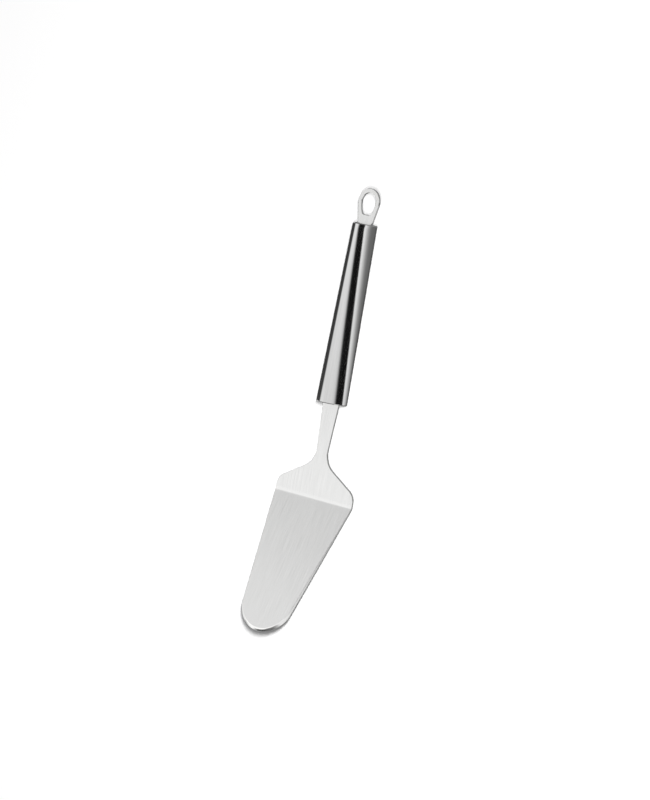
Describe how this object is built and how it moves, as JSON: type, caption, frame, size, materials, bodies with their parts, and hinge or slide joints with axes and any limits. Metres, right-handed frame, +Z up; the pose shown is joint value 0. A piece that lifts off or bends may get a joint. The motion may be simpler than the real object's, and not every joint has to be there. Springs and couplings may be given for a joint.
{
  "type": "cake server",
  "caption": "Stainless cake server: wedge blade with a crease at its heel, narrow neck, tapered tube handle and flat hanging loop.",
  "frame": {"origin": "on the table, under the middle of the server's whole length, as it lies at rest on the heel of its blade and the front rim of its handle", "axes": "+Z up from the table, +Y along the server from the tip of the blade towards the hanging loop, +X across the blade"},
  "size_m": [0.06, 0.2746, 0.0328],
  "materials": {
    "satin_steel": "satin, fine brushing along the server",
    "polished_steel": "nearly polished, with very fine lines along the tube",
    "weld_steel": "weld metal, ground flush where it shows"
  },
  "bodies": {
    "root": {"blade": "satin_steel", "handle_tube": "polished_steel", "front_cap": "polished_steel", "rear_cap": "polished_steel", "hanging_loop": "satin_steel", "tang_weld": "weld_steel", "loop_weld": "weld_steel", "front_rim_weld": "weld_steel", "rear_rim_weld": "weld_steel"}
  },
  "joints": []
}
